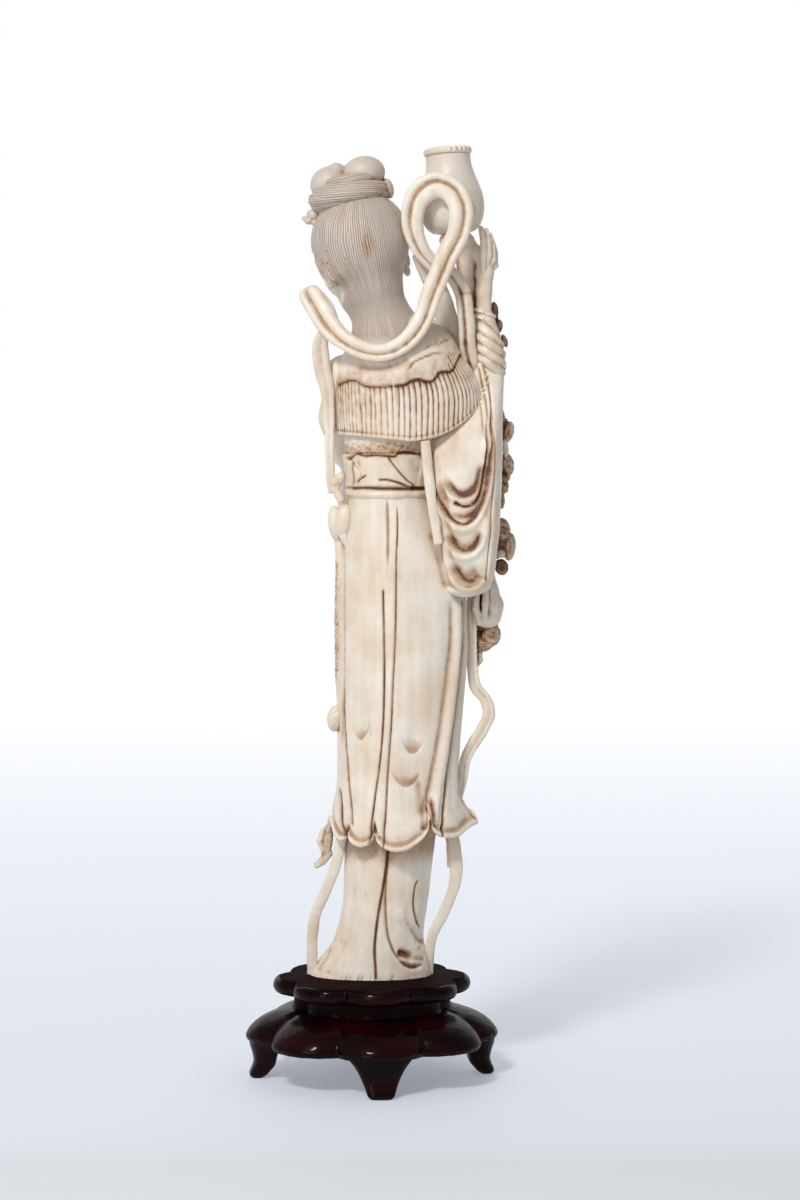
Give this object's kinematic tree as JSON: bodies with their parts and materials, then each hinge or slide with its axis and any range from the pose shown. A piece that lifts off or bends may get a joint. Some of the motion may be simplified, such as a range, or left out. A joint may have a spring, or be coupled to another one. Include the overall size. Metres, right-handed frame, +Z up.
{
  "type": "guanyin figure on a stand",
  "caption": "Slender carved robed lady with one arm raised to carry a vase, with looping scarf ribbons and flower sprays, standing on a lobed wooden stand with scrolled feet.",
  "frame": {"origin": "on the floor under the middle of the whole box, 2.4 mm to the -X side of the stand's axis", "axes": "+Z up; the lady faces -Y and turns her back to +Y, and her raised right arm is on the -X side"},
  "size_m": [0.0887, 0.0836, 0.3095],
  "materials": {
    "ivory": "cream carved ivory, softly polished, with brown patina in the grooves and a greyer head",
    "lacquered_wood": "very dark red-brown hardwood under glossy lacquer"
  },
  "bodies": {
    "root": {"guanyin_figure": "ivory", "stand": "lacquered_wood"}
  },
  "joints": []
}
